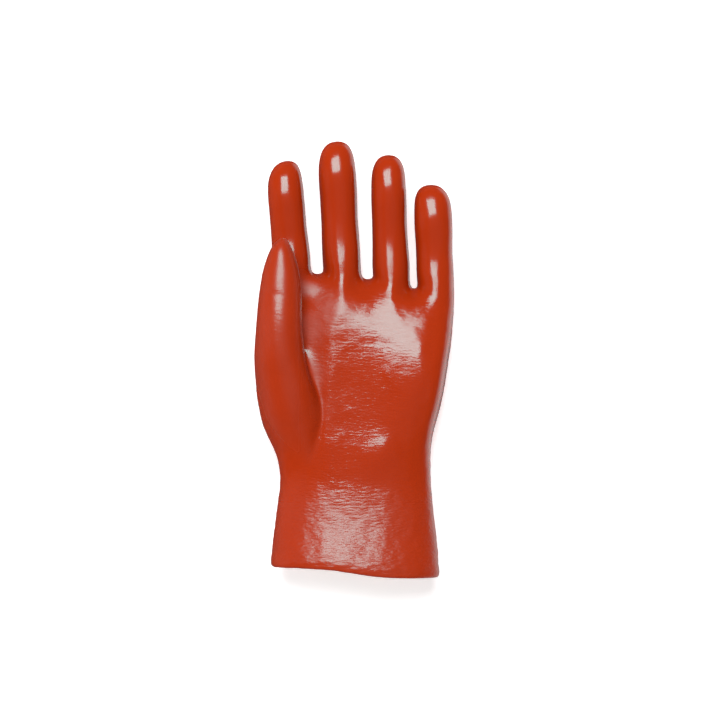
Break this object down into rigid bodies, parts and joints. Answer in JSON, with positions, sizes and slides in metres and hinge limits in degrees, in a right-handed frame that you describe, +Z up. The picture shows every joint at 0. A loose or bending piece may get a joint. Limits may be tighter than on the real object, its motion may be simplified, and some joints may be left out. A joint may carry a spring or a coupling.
{
  "type": "pvc coated work glove",
  "caption": "Glossy red PVC coated work glove for the left hand, lying palm up with an open flared wrist cuff",
  "frame": {"origin": "under the middle of the glove's bounding box, on the table it lies on", "axes": "+X towards the little finger's side, +Y from the cuff's mouth to the fingertips, +Z up from the table, out of the palm"},
  "size_m": [0.1226, 0.2698, 0.0578],
  "materials": {
    "pvc_coat": "smooth dipped PVC, glossy, faintly wrinkled where the knit under it shows through"
  },
  "bodies": {
    "root": {"coated_glove": "pvc_coat"}
  },
  "joints": []
}
